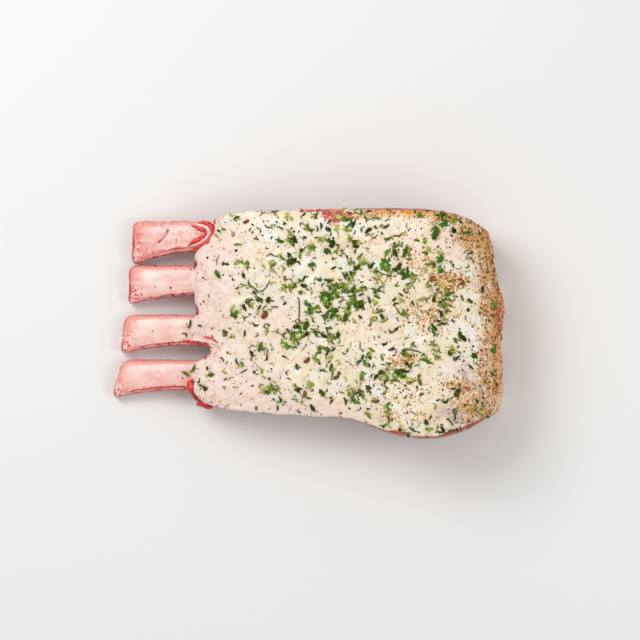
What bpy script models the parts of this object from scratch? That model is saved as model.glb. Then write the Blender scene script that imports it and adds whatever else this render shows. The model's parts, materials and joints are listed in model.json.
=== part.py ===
"""Rack of lamb: four frenched ribs, the rib meat, the loin eye, and the layers of fat over them.

Metres, +Z up. The bone tips point to -X, the sawn chine side faces +X, and the two cut faces where the
rack was parted from its neighbours face +Y and -Y. The fat side is up. The rack stands on its bone tips
and on the lower edge of the chine side, with the ribs arching over the surface between them.

The meat is drawn once as a cross-section in x and z, in millimetres. Every layer of it is then carried
from one cut face to the other along the same stations, so neighbours keep the same gap all the way.
"""

import math

import bmesh
import bpy

MM = 0.001

# Driving sizes, in millimetres
GAP = 0.35  # clearance between neighbouring solids
ARCH_CENTRE, ARCH_HALF_SPAN = -1.0, 88.0  # the hollow under the ribs
ARCH_RISE, FOOT_TRIM = 12.0, 1.6  # the trim leaves a flat foot at each end of the arch
RIB_THICKNESS = 8.0
RIB_MEAT_THICKNESS = 9.5
MEAT_LEFT, MEAT_RIGHT = -51.0, 88.0  # from the frenched edge to the chine side
EDGE_REACH = 40.0  # how far the wavy left and right edges are felt inwards

# The fat side in section, from the frenched edge over the loin and down the chine side: x, z
FAT_LINE = [
    (-51.0, 19.4),
    (-44.0, 23.2),
    (-30.0, 27.8),
    (-10.0, 31.6),
    (8.0, 35.0),
    (24.0, 40.2),
    (42.0, 46.0),
    (58.0, 48.6),
    (70.0, 47.6),
    (79.0, 43.2),
    (85.0, 35.5),
    (87.6, 26.5),
    (87.4, 18.0),
    (86.0, 12.6),
]
FAT_LINE_SPANS = 30
FINE_STEPS = 20  # steps between given points, before they are spaced evenly
FAT_DEPTH = [(-51, 1.3), (-42, 2.6), (-25, 4.0), (20, 4.6), (60, 5.2), (88, 4.4)]
CAP_RANGE = (-46.0, 29.0)  # the thin cap muscle between two layers of fat
CAP_DEPTH = [(-46, 0.9), (-36, 2.4), (-15, 3.6), (12, 3.4), (29, 0.9)]
SEAM_LEFT, SEAM_RIGHT = -50.0, 36.0  # the fat between the cap muscle and the ribs

# The loin eye: its rounded left side is a quarter of an ellipse
EYE_TIP, EYE_SHOULDER = 19.0, 46.0
EYE_ARC_SPANS = 10
EYE_FLOOR_SPANS = 8
RIB_MEAT_SPANS = 22
RIB_MEAT_LEFT, RIB_MEAT_RIGHT = -52.0, 87.0
EYE_DOME = [(0.92, 0.5), (0.6, 0.9), (0.25, 1.1)]  # scale and push of the rings that dome its cut ends

# Plan of the two cut faces and of the two free edges
CUT_FACE_BACK = [(-54, 46.5), (-46, 48.6), (-35, 50.3), (-18, 50.8), (12, 51.6), (46, 50.8)]
CUT_FACE_BACK += [(69, 48.4), (78, 46.2), (88, 41)]
CUT_FACE_FRONT = [(-54, -35.5), (-46, -39), (-31, -41.2), (6, -43.2), (23, -45), (35, -49.2)]
CUT_FACE_FRONT += [(50, -52), (65, -51), (76, -47.8), (88, -40.5)]
FRENCHED_EDGE = [(-42, 8), (-38, 2), (-33, -3), (-24, -1), (-14, 5), (-3, -1), (8, 0.3)]
FRENCHED_EDGE += [(19, -2), (30, 0), (40, 6.5), (50, 7.5)]
CHINE_EDGE = [(-50, -5.5), (-44, -2.2), (-38, 0.3), (-30, 1.4), (-4, 0.8), (4, 1.9), (12, 1.2)]
CHINE_EDGE += [(18, -1.8), (28, -2.7), (36, -3.8), (42, -5.5), (50, -9)]

# Where each layer is cut from face to face (-1 is the front cut face, 1 the back one)
STATIONS = [-1, -0.985, -0.88, -0.72, -0.55, -0.37, -0.18, 0, 0.18, 0.37, 0.55, 0.72, 0.88, 0.985, 1]
CUT_CHAMFER = 0.3  # how much the knife-cut edges are rounded off

# Ribs, from the back of the rack to the front. Places along the rib are x, across it y.
RIB_SHAFT_WIDTH = 13.4
RIB_NECK_WIDTH = 9.4  # near the sawn chine end
RIB_HEAD_X = 86.2
RIB_SIDES = 16
RIB_SPANS = 10
FRONT_LEAN = 0.9
RIB_SQUARENESS = 0.72  # 1 is an ellipse, less is boxier
RIBS = [
    {"tip": -80.6, "root_y": 40.0, "head_y": 37.5, "tip_width": 19.0, "slant": 0.05},
    {"tip": -82.4, "root_y": 19.6, "head_y": 14.0, "tip_width": 17.4, "slant": 0.02},
    {"tip": -85.4, "root_y": -3.2, "head_y": -10.0, "tip_width": 17.4, "slant": 0.14},
    {"tip": -88.9, "root_y": -24.0, "head_y": -34.0, "tip_width": 17.2, "slant": 0.3},
]
TIP_FLARE_LENGTH = 26.0
TIP_SWELL = 1.3  # the knob at the tip hangs this much lower and stands a little higher
TIP_ROUNDING = [(0.0, 0.62), (0.7, 0.82), (2.2, 0.95), (4.5, 1.0)]  # distance from the tip, scale


def clamp(value, low=0.0, high=1.0):
    return max(low, min(high, value))


def along(points, x):
    """Smooth value at x through (x, value) pairs, flat beyond both ends."""
    if x <= points[0][0]:
        return points[0][1]
    if x >= points[-1][0]:
        return points[-1][1]
    i = max(k for k in range(len(points) - 1) if points[k][0] <= x)
    slopes = [(b[1] - a[1]) / (b[0] - a[0]) for a, b in zip(points, points[1:])]
    start = slopes[i] if i == 0 else (slopes[i - 1] + slopes[i]) / 2
    end = slopes[i] if i == len(slopes) - 1 else (slopes[i] + slopes[i + 1]) / 2
    width = points[i + 1][0] - points[i][0]
    t = (x - points[i][0]) / width
    return (
        (2 * t**3 - 3 * t**2 + 1) * points[i][1]
        + (t**3 - 2 * t**2 + t) * width * start
        + (3 * t**2 - 2 * t**3) * points[i + 1][1]
        + (t**3 - t**2) * width * end
    )


def arch(x):
    """Height of the hollow under the ribs."""
    u = (x - ARCH_CENTRE) / ARCH_HALF_SPAN
    return max(0.0, ARCH_RISE * (1 - u * u) - FOOT_TRIM)


def rib_meat_top(x):
    return arch(x) + RIB_MEAT_THICKNESS


def spline(points, spans):
    """Points at even spacing along a smooth curve through the given ones."""
    fine = []
    padded = [points[0], *points, points[-1]]
    for before, start, end, after in zip(padded, padded[1:], padded[2:], padded[3:]):
        for step in range(FINE_STEPS):
            t = step / FINE_STEPS
            weights = (-t + 2 * t**2 - t**3, 2 - 5 * t**2 + 3 * t**3, t + 4 * t**2 - 3 * t**3, t**3 - t**2)
            around = (before, start, end, after)
            fine.append(tuple(sum(w * p[k] for w, p in zip(weights, around)) / 2 for k in (0, 1)))
    fine.append(points[-1])
    run = [0.0]
    for a, b in zip(fine, fine[1:]):
        run.append(run[-1] + math.dist(a, b))
    spaced = []
    for n in range(spans + 1):
        want = run[-1] * n / spans
        k = max(0, min(len(run) - 2, sum(r <= want for r in run) - 1))
        t = (want - run[k]) / (run[k + 1] - run[k])
        spaced.append(tuple(p + (q - p) * t for p, q in zip(fine[k], fine[k + 1])))
    return spaced


def normals(line):
    """Unit normals of a line of points, to the left of its direction."""
    found = []
    for i in range(len(line)):
        a, b = line[max(0, i - 1)], line[min(len(line) - 1, i + 1)]
        length = math.dist(a, b)
        found.append((-(b[1] - a[1]) / length, (b[0] - a[0]) / length))
    return found


def height_on(line, x):
    """Height at x on a line that runs left to right."""
    k = max(i for i, p in enumerate(line[:-1]) if p[0] <= x)
    a, b = line[k], line[k + 1]
    return a[1] + (b[1] - a[1]) * (x - a[0]) / (b[0] - a[0])


def pushed(line, distances):
    """The line moved along its normals, point by point."""
    return [
        (p[0] + n[0] * d, p[1] + n[1] * d)
        for p, n, d in zip(line, normals(line), distances)
    ]


def section():
    """Every layer of the meat in cross-section: a closed line of (x, z) points each."""
    skin = spline(FAT_LINE, FAT_LINE_SPANS)
    fat_depth = [along(FAT_DEPTH, p[0]) for p in skin]
    below_fat = pushed(skin, [-d - GAP for d in fat_depth])

    cap = [k for k, p in enumerate(skin) if CAP_RANGE[0] < p[0] < CAP_RANGE[1]]
    cap_depth = {k: along(CAP_DEPTH, skin[k][0]) for k in cap}
    under_cap = pushed(skin, [-d - GAP - cap_depth.get(k, 0) for k, d in enumerate(fat_depth)])
    below_cap = pushed(
        skin, [-d - GAP - (cap_depth[k] + GAP if k in cap_depth else 0) for k, d in enumerate(fat_depth)]
    )

    # The eye: a rounded left side from its tip up to the fat, the fat's underside, and the rib meat's top
    arc = []
    for step in range(EYE_ARC_SPANS + 1):
        angle = math.pi / 2 * step / EYE_ARC_SPANS
        x = EYE_SHOULDER - (EYE_SHOULDER - EYE_TIP) * math.cos(angle)
        floor = rib_meat_top(x) + GAP
        arc.append((x, floor + (height_on(below_fat, x) - floor) * math.sin(angle)))
    roof = [p for p in below_fat if p[0] > EYE_SHOULDER + 1 and p[1] > rib_meat_top(p[0]) + 2 * GAP]
    right = roof[-1][0]
    floor_xs = [right + (EYE_TIP + 1.5 - right) * n / EYE_FLOOR_SPANS for n in range(EYE_FLOOR_SPANS + 1)]

    # The seam fat fills what is left over the ribs, up to the eye's shoulder
    seam_top = [p for p, q in zip(below_cap, skin) if SEAM_LEFT < q[0] < SEAM_RIGHT]
    beside_eye = [p for p in pushed(arc, [GAP] * len(arc)) if p[0] < seam_top[-1][0] - 0.5]
    seam_floor = [(x, rib_meat_top(x) + GAP) for x, _ in seam_top if x < beside_eye[0][0] - 1]

    foot = ARCH_CENTRE + ARCH_HALF_SPAN * math.sqrt(1 - FOOT_TRIM / ARCH_RISE)
    step = (foot - RIB_MEAT_LEFT) / RIB_MEAT_SPANS
    meat_xs = [RIB_MEAT_LEFT + step * n for n in range(RIB_MEAT_SPANS + 1)]
    meat_xs += [(foot + RIB_MEAT_RIGHT) / 2, RIB_MEAT_RIGHT]
    return {
        "fat_cap": skin + pushed(skin, [-d for d in fat_depth])[::-1],
        "cap_muscle": [below_fat[k] for k in cap] + [under_cap[k] for k in cap][::-1],
        "seam_fat": seam_top + beside_eye[::-1] + seam_floor[::-1],
        "loin_eye": arc + roof + [(x, rib_meat_top(x) + GAP) for x in floor_xs],
        "rib_meat": [(x, rib_meat_top(x)) for x in meat_xs] + [(x, arch(x)) for x in meat_xs][::-1],
    }


def placed(x, z, v):
    """Where a point of the section lies at station v, in millimetres."""
    back, front = along(CUT_FACE_BACK, x), along(CUT_FACE_FRONT, x)
    y = front + (back - front) * (v + 1) / 2
    left = clamp(1 - (x - MEAT_LEFT) / EDGE_REACH) ** 2
    right = clamp(1 - (MEAT_RIGHT - x) / EDGE_REACH) ** 2
    moved = x + left * along(FRENCHED_EDGE, y) + right * along(CHINE_EDGE, y)
    above_ribs = clamp((z - rib_meat_top(x)) / 12)
    lumps = 0.8 * math.sin(x / 11 + 0.6) * math.cos(y / 13 + 1.1) + 0.5 * math.sin(x / 6.3 + y / 8.1)
    edge_drop = 2.2 * abs(v) ** 7
    return moved, y, z + above_ribs * (lumps - edge_drop)


def material(name, colour, roughness):
    made = bpy.data.materials.new(name)
    made.use_nodes = True
    shader = made.node_tree.nodes["Principled BSDF"]
    shader.inputs["Base Color"].default_value = (*colour, 1)
    shader.inputs["Roughness"].default_value = roughness
    shader.inputs["Metallic"].default_value = 0
    made.diffuse_color = (*colour, 1)
    return made


def loft(name, rings, finish, rack):
    """A closed body through rings of points, in millimetres, with flat ends."""
    bm = bmesh.new()
    loops = []
    for ring in rings:
        verts = [bm.verts.new((x * MM, y * MM, z * MM)) for x, y, z in ring]
        loops.append([bm.edges.new(pair) for pair in zip(verts, verts[1:] + verts[:1])])
    for a, b in zip(loops, loops[1:]):
        count = len(a)
        for i in range(count):
            first, second = a[i], b[i]
            bm.faces.new((first.verts[0], first.verts[1], second.verts[1], second.verts[0]))
    for end in (loops[0], loops[-1]):
        bmesh.ops.triangle_fill(bm, use_beauty=True, edges=end)
    bmesh.ops.recalc_face_normals(bm, faces=bm.faces)
    mesh = bpy.data.meshes.new(name)
    bm.to_mesh(mesh)
    bm.free()
    made = bpy.data.objects.new(name, mesh)
    bpy.context.scene.collection.objects.link(made)
    made.parent = rack
    mesh.materials.append(finish)
    mesh.shade_smooth()
    mesh.set_sharp_from_angle(angle=math.radians(50))
    return made


def shrunk(ring, distance):
    """A closed line moved inwards."""
    before, after = ring[-1:] + ring[:-1], ring[1:] + ring[:1]
    moved = []
    for a, p, b in zip(before, ring, after):
        length = math.dist(a, b)
        share = distance / length
        moved.append((p[0] + (b[1] - a[1]) * share, p[1] - (b[0] - a[0]) * share))
    return moved


def layer_rings(ring):
    """The layer's section at each station, its knife-cut edges rounded off."""
    edge = shrunk(ring, CUT_CHAMFER)
    return [[placed(x, z, v) for x, z in (edge if abs(v) == 1 else ring)] for v in STATIONS]


def eye_rings(ring):
    """The loin eye at each station, with a low dome at each cut end."""
    mid_x = sum(x for x, _ in ring) / len(ring)
    mid_z = sum(z for _, z in ring) / len(ring)
    rings = [[placed(x, z, v) for x, z in ring] for v in STATIONS]
    for scale, push in EYE_DOME:
        scaled = [(mid_x + (x - mid_x) * scale, mid_z + (z - mid_z) * scale) for x, z in ring]
        for v in (-1, 1):
            face = [placed(x, z, v) for x, z in scaled]
            rings.insert(0 if v < 0 else len(rings), [(x, y + v * push, z) for x, y, z in face])
    return rings


def rib_head(rib):
    """Where the rib's sawn end lies, just inside the wavy chine side."""
    return RIB_HEAD_X + along(CHINE_EDGE, rib["head_y"])


def rib_stations(rib):
    """Places along a rib, close together at the rounded tip."""
    stations = [rib["tip"] + distance for distance, _ in TIP_ROUNDING]
    stations += [rib["tip"] + distance for distance in (9, 16, 25)]
    start = stations[-1]
    return stations + [start + (rib_head(rib) - start) * n / RIB_SPANS for n in range(1, RIB_SPANS + 1)]


def rib_shape(rib, x):
    """Middle y, width, underside and top of a rib at x."""
    into_meat = clamp((x - MEAT_LEFT) / (RIB_HEAD_X - MEAT_LEFT))
    flare = clamp(1 - (x - rib["tip"]) / TIP_FLARE_LENGTH) ** 1.6
    shaft = RIB_SHAFT_WIDTH + (RIB_NECK_WIDTH - RIB_SHAFT_WIDTH) * into_meat
    width = shaft + (rib["tip_width"] - RIB_SHAFT_WIDTH) * flare
    # The flare is all on the front edge, so the back edge stays straight
    y = rib["root_y"] + (rib["head_y"] - rib["root_y"]) * into_meat - (width - shaft) / 2
    under = max(0.0, arch(x) - TIP_SWELL * flare)
    return y, width, under, arch(x) + RIB_THICKNESS + 0.4 * TIP_SWELL * flare


def outline(width, under, top, sides):
    """(across, z) points round a rib with squarish corners, from its back side over its top."""
    points = []
    highest = math.sin(2 * math.pi * (RIB_SIDES // 4 - 0.5) / RIB_SIDES) ** RIB_SQUARENESS
    for n in range(sides):
        angle = 2 * math.pi * (n + 0.5) / RIB_SIDES
        across = math.copysign(abs(math.cos(angle)) ** RIB_SQUARENESS, math.cos(angle))
        up = math.copysign(abs(math.sin(angle)) ** RIB_SQUARENESS, math.sin(angle)) / highest
        # The front side slopes out towards its foot
        lean = -FRONT_LEAN * (1 - up) / 2 if across < 0 else 0
        points.append((across * width / 2 + lean, (under + top) / 2 + up * (top - under) / 2))
    return points


def rib_rings(rib):
    rings = []
    for x in rib_stations(rib):
        y, width, under, top = rib_shape(rib, x)
        scale = along(TIP_ROUNDING, x - rib["tip"])
        slant = rib["slant"] * clamp(1 - (x - rib["tip"]) / TIP_FLARE_LENGTH)
        top = under + (top - under) * scale
        rings.append([(x + slant * dy, y + dy, z) for dy, z in outline(width * scale, under, top, RIB_SIDES)])
    return rings


def channel_rings(rib):
    """The channel that a rib lies in: open below, and wider than the rib by the gap."""
    rings = []
    for x in [MEAT_LEFT - 14] + [x for x in rib_stations(rib) if x > MEAT_LEFT - 14] + [MEAT_RIGHT + 6]:
        y, width, under, top = rib_shape(rib, x)
        half = width / 2 + GAP
        over = outline(2 * half, under - GAP, top + GAP, RIB_SIDES // 2)
        ring = [(half, under - 4), *over, (-half - FRONT_LEAN, under - 4)]
        rings.append([(x, y + dy, z) for dy, z in ring])
    return rings


def cut_channels(meat, rack):
    """Cuts the ribs' channels through the rib meat."""
    for number, rib in enumerate(RIBS, 1):
        cutter = loft(f"channel_{number}", channel_rings(rib), meat.data.materials[0], rack)
        cutter.hide_render = True
        cutter.display_type = "WIRE"
        cut = meat.modifiers.new(f"rib {number}", "BOOLEAN")
        cut.object = cutter
        cut.operation = "DIFFERENCE"
        cut.solver = "EXACT"


def main():
    for obj in list(bpy.data.objects):
        bpy.data.objects.remove(obj)
    rack = bpy.data.objects.new("rack", None)
    bpy.context.scene.collection.objects.link(rack)
    fat = material("lamb fat", (0.86, 0.68, 0.56), 0.35)
    lean = material("raw lean", (0.52, 0.09, 0.07), 0.4)
    bone = material("rib bone", (0.86, 0.58, 0.5), 0.4)
    finishes = {"fat_cap": fat, "cap_muscle": lean, "seam_fat": fat, "rib_meat": lean}
    layers = section()
    solids = [loft(name, layer_rings(layers[name]), finish, rack) for name, finish in finishes.items()]
    solids.append(loft("loin_eye", eye_rings(layers["loin_eye"]), lean, rack))
    for number, rib in enumerate(RIBS, 1):
        solids.append(loft(f"rib_{number}", rib_rings(rib), bone, rack))
    cut_channels(bpy.data.objects["rib_meat"], rack)
    # The origin is the middle of the box round the whole rack
    points = [vert.co for solid in solids for vert in solid.data.vertices]
    for axis in (0, 1):
        places = [point[axis] for point in points]
        rack.location[axis] = -(min(places) + max(places)) / 2


main()
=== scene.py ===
import json
import math
import random

import bmesh
import bpy
import numpy as np
from mathutils import Matrix, Vector, noise
from mathutils.bvhtree import BVHTree

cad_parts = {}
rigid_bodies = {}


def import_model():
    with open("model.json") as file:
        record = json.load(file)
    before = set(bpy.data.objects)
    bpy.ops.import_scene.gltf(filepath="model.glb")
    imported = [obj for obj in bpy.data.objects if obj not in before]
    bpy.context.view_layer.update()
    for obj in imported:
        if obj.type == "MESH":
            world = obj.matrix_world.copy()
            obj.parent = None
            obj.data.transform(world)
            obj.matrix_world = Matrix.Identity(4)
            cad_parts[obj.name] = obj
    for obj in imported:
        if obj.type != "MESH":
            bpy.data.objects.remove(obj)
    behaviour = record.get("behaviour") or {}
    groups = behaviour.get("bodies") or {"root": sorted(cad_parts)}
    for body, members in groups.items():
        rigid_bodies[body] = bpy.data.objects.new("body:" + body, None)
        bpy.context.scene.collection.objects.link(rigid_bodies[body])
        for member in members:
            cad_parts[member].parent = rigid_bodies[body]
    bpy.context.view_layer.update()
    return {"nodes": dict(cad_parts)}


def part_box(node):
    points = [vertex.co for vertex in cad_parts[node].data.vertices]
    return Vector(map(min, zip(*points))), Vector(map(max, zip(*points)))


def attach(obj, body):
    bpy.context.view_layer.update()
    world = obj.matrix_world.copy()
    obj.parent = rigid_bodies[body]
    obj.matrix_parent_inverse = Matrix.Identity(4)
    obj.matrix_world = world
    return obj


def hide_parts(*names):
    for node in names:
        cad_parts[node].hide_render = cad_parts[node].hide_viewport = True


# Raw frenched rack of lamb. Bone tips at -X, chine side at +X, fat side up. Sizes below are in millimetres.
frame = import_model()
nodes = frame["nodes"]
mm = 0.001
floorGap = 0.02


def linear(*colour):  # a colour written 0 to 255, as light
    return tuple(c / 255 / 12.92 if c <= 10 else ((c / 255 + 0.055) / 1.055) ** 2.4 for c in colour)


def smooth(low, high, value):  # 0 below low, 1 above high, eased between
    t = np.clip((value - low) / (high - low), 0, 1)
    return t * t * (3 - 2 * t)


def wobble(points, grain, seed):  # soft noise from -1 to 1, with lumps of about this size
    return np.array([noise.noise(p) for p in points / grain + seed * 13.7])


def patches(points, spots, softness):  # the strongest of some fading ellipses: x, y, half sizes, strength
    total = np.zeros(len(points))
    for x, y, halfX, halfY, strength in spots:
        far = np.hypot((points[:, 0] - x) / halfX, (points[:, 1] - y) / halfY)
        total = np.maximum(total, strength * (1 - smooth(1 - softness / 2, 1 + softness / 2, far)))
    return total


def places(mesh):
    flat = np.empty(len(mesh.vertices) * 3, np.float32)
    mesh.vertices.foreach_get("co", flat)
    return flat.reshape(-1, 3).astype(float) * 1000


def outward(mesh):
    flat = np.empty(len(mesh.vertices) * 3, np.float32)
    mesh.vertex_normals.foreach_get("vector", flat)
    return flat.reshape(-1, 3).astype(float)


def setPlaces(mesh, points):
    mesh.vertices.foreach_set("co", (points * mm).astype(np.float32).ravel())
    mesh.update()


def paint(mesh, **layers):  # each layer is a value at every point, for the materials to read
    for name, values in layers.items():
        layer = mesh.attributes.new(name, "FLOAT", "POINT")
        layer.data.foreach_set("value", np.asarray(values, np.float32))


def linkMesh(name, mesh):
    made = bpy.data.objects.new(name, mesh)
    bpy.context.scene.collection.objects.link(made)
    return made


def settled(obj):  # the object as its modifiers leave it, as a plain mesh
    made = bpy.data.meshes.new_from_object(obj.evaluated_get(bpy.context.evaluated_depsgraph_get()))
    obj.modifiers.clear()
    obj.data = made
    return obj


def skinOf(name, nodeName, grain, extras=()):  # one closed skin round a CAD node and extra shapes
    bm = bmesh.new()
    if nodeName:
        bm.from_mesh(nodes[nodeName].data)
        bmesh.ops.remove_doubles(bm, verts=bm.verts, dist=1e-6)
    for x, y, z, halfX, halfY, halfZ in extras:
        shape = Matrix.LocRotScale(Vector((x, y, z)) * mm, None, Vector((halfX, halfY, halfZ)) * mm)
        bmesh.ops.create_icosphere(bm, subdivisions=3, radius=1, matrix=shape)
    mesh = bpy.data.meshes.new(name)
    bm.to_mesh(mesh)
    bm.free()
    made = linkMesh(name, mesh)
    remesh = made.modifiers.new("skin", "REMESH")
    remesh.mode = "VOXEL"
    remesh.voxel_size = grain * mm
    remesh.use_smooth_shade = True
    return settled(made)


def relax(mesh, rounds, weight=None):  # evens out the skin, all over or by weight
    edges = np.empty(len(mesh.edges) * 2, np.int32)
    mesh.edges.foreach_get("vertices", edges)
    first, second = edges.reshape(-1, 2).T
    points = places(mesh)
    count = np.bincount(edges, minlength=len(points))[:, None]
    amount = 0.5 if weight is None else 0.5 * weight[:, None]
    for _ in range(rounds):
        total = np.zeros_like(points)
        for axis in range(3):
            total[:, axis] += np.bincount(first, points[second, axis], len(points))
            total[:, axis] += np.bincount(second, points[first, axis], len(points))
        points += (total / count - points) * amount
    setPlaces(mesh, points)


def sway(points):  # the same slow irregularity for every layer, so that they stay nested
    shift = np.stack([wobble(points, 14, 1), wobble(points, 11, 2), wobble(points, 12, 3)], 1)
    shift += 0.5 * np.stack([wobble(points, 4.5, 4), wobble(points, 4.5, 5), wobble(points, 4, 6)], 1)
    inside = smooth(-62, -46, points[:, 0])[:, None]
    shift = shift * np.array([0.5, 0.35, 0.55]) * inside * smooth(1, 9, points[:, 2])[:, None]
    notch = np.exp(-((points[:, 1] + 12.6) / 3.2) ** 2) * (1 - smooth(-50, -38, points[:, 0]))
    shift[:, 0] += 4.6 * notch  # the meat is cut deeper between the two lowest ribs
    return shift


def finishPiece(obj, material, slotName, *replaced):
    obj.data.materials.append(material)
    obj.data.shade_smooth()
    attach(obj, "root")
    if replaced:
        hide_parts(*replaced)
    return obj


def addNode(tree, kind, settings):
    made = tree.nodes.new(kind)
    for key, value in settings.items():
        setattr(made, key, value)
    return made


class Shader:  # a material and its nodes, made line by line
    def __init__(self, name):
        self.material = bpy.data.materials.new(name)
        self.material.use_nodes = True
        self.tree = self.material.node_tree
        self.surface = self.tree.nodes["Principled BSDF"]
        self.where = self.node("ShaderNodeTexCoord").outputs["Object"]

    def node(self, kind, **settings):
        return addNode(self.tree, kind, settings)

    def put(self, socket, value):
        if hasattr(value, "links"):
            self.tree.links.new(value, socket)
        elif isinstance(value, tuple) and len(value) == 3 and len(socket.default_value) == 4:
            socket.default_value = (*value, 1)
        else:
            socket.default_value = value

    def read(self, name):  # a painted attribute
        return self.node("ShaderNodeAttribute", attribute_name=name).outputs["Fac"]

    def noise(self, grain, detail=3.0, roughness=0.5, distortion=0.0, stretch=None):
        made = self.node("ShaderNodeTexNoise")
        self.put(made.inputs["Vector"], self.stretched(stretch))
        self.put(made.inputs["Scale"], 1 / (grain * mm))
        self.put(made.inputs["Detail"], detail)
        self.put(made.inputs["Roughness"], roughness)
        self.put(made.inputs["Distortion"], distortion)
        return made.outputs["Fac"]

    def cells(self, grain, stretch=None, output="Distance"):
        made = self.node("ShaderNodeTexVoronoi")
        self.put(made.inputs["Vector"], self.stretched(stretch))
        self.put(made.inputs["Scale"], 1 / (grain * mm))
        return made.outputs[output]

    def stretched(self, stretch):
        if not stretch:
            return self.where
        mapping = self.node("ShaderNodeMapping")
        self.put(mapping.inputs["Vector"], self.where)
        self.put(mapping.inputs["Scale"], tuple(1 / s for s in stretch))
        return mapping.outputs["Vector"]

    def sum(self, operation, *values, clamp=False):
        made = self.node("ShaderNodeMath", operation=operation, use_clamp=clamp)
        for socket, value in zip(made.inputs, values):
            self.put(socket, value)
        return made.outputs[0]

    def add(self, *values, clamp=False):
        return self.sum("ADD", *values, clamp=clamp)

    def times(self, *values, clamp=False):
        return self.sum("MULTIPLY", *values, clamp=clamp)

    def span(self, value, low, high, toLow=0.0, toHigh=1.0):  # eased from low to high
        made = self.node("ShaderNodeMapRange", interpolation_type="SMOOTHSTEP")
        names = ("Value", "From Min", "From Max", "To Min", "To Max")
        for key, number in zip(names, (value, low, high, toLow, toHigh)):
            self.put(made.inputs[key], number)
        return made.outputs[0]

    def mix(self, amount, first, second):
        made = self.node("ShaderNodeMix", data_type="RGBA")
        self.put(made.inputs[0], amount)
        self.put(made.inputs[6], first)
        self.put(made.inputs[7], second)
        return made.outputs[2]

    def ramp(self, value, *stops):  # colours along 0 to 1
        made = self.node("ShaderNodeValToRGB")
        self.put(made.inputs["Fac"], value)
        band = made.color_ramp.elements
        band.remove(band[1])
        band[0].position, band[0].color = stops[0][0], (*stops[0][1], 1)
        for at, colour in stops[1:]:
            band.new(at).color = (*colour, 1)
        return made.outputs["Color"]

    def speckle(self, grain):  # two random numbers for each small grain
        parted = self.node("ShaderNodeSeparateColor")
        self.put(parted.inputs[0], self.cells(grain, output="Color"))
        return parted.outputs[0], parted.outputs[1]

    def spread(self, value, amount):  # how far a value lies from a half, scaled
        return self.times(self.sum("SUBTRACT", value, 0.5), amount)

    def bump(self, height, depth, strength=1.0, under=None):
        made = self.node("ShaderNodeBump")
        self.put(made.inputs["Height"], height)
        self.put(made.inputs["Distance"], depth * mm)
        self.put(made.inputs["Strength"], strength)
        if under is not None:
            self.put(made.inputs["Normal"], under)
        return made.outputs[0]

    def finish(self, colour, roughness, normal=None, flesh=0.0, fleshDepth=2.0, wet=0.0, shine=0.5):
        inputs = self.surface.inputs
        self.put(inputs["Base Color"], colour)
        self.put(inputs["Roughness"], roughness)
        inputs["Specular IOR Level"].default_value = shine
        if normal is not None:
            self.put(inputs["Normal"], normal)
        if flesh:
            inputs["Subsurface Weight"].default_value = flesh
            inputs["Subsurface Radius"].default_value = (1.0, 0.42, 0.28)
            inputs["Subsurface Scale"].default_value = fleshDepth * mm
        if wet:
            inputs["Coat Weight"].default_value = wet
            inputs["Coat Roughness"].default_value = 0.18
        return self.material


fatColours = {
    "white": linear(255, 249, 239),
    "cream": linear(254, 241, 217),
    "warmCream": linear(253, 233, 198),
    "pink": linear(255, 228, 215),
    "deepPink": linear(248, 190, 176),
    "rubPale": linear(248, 208, 122),
    "rubTan": linear(236, 162, 62),
    "rubOrange": linear(216, 114, 28),
    "rubDark": linear(104, 52, 12),
    # browned fat colours; on the side facing +X they are partly a painted warm orange reflection
    "browned": linear(238, 160, 70),
    "brownedDark": linear(206, 112, 40),
    "lean": linear(190, 48, 42),
    "leanPale": linear(238, 150, 132),
    "bruise": linear(198, 176, 178),
}


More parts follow.
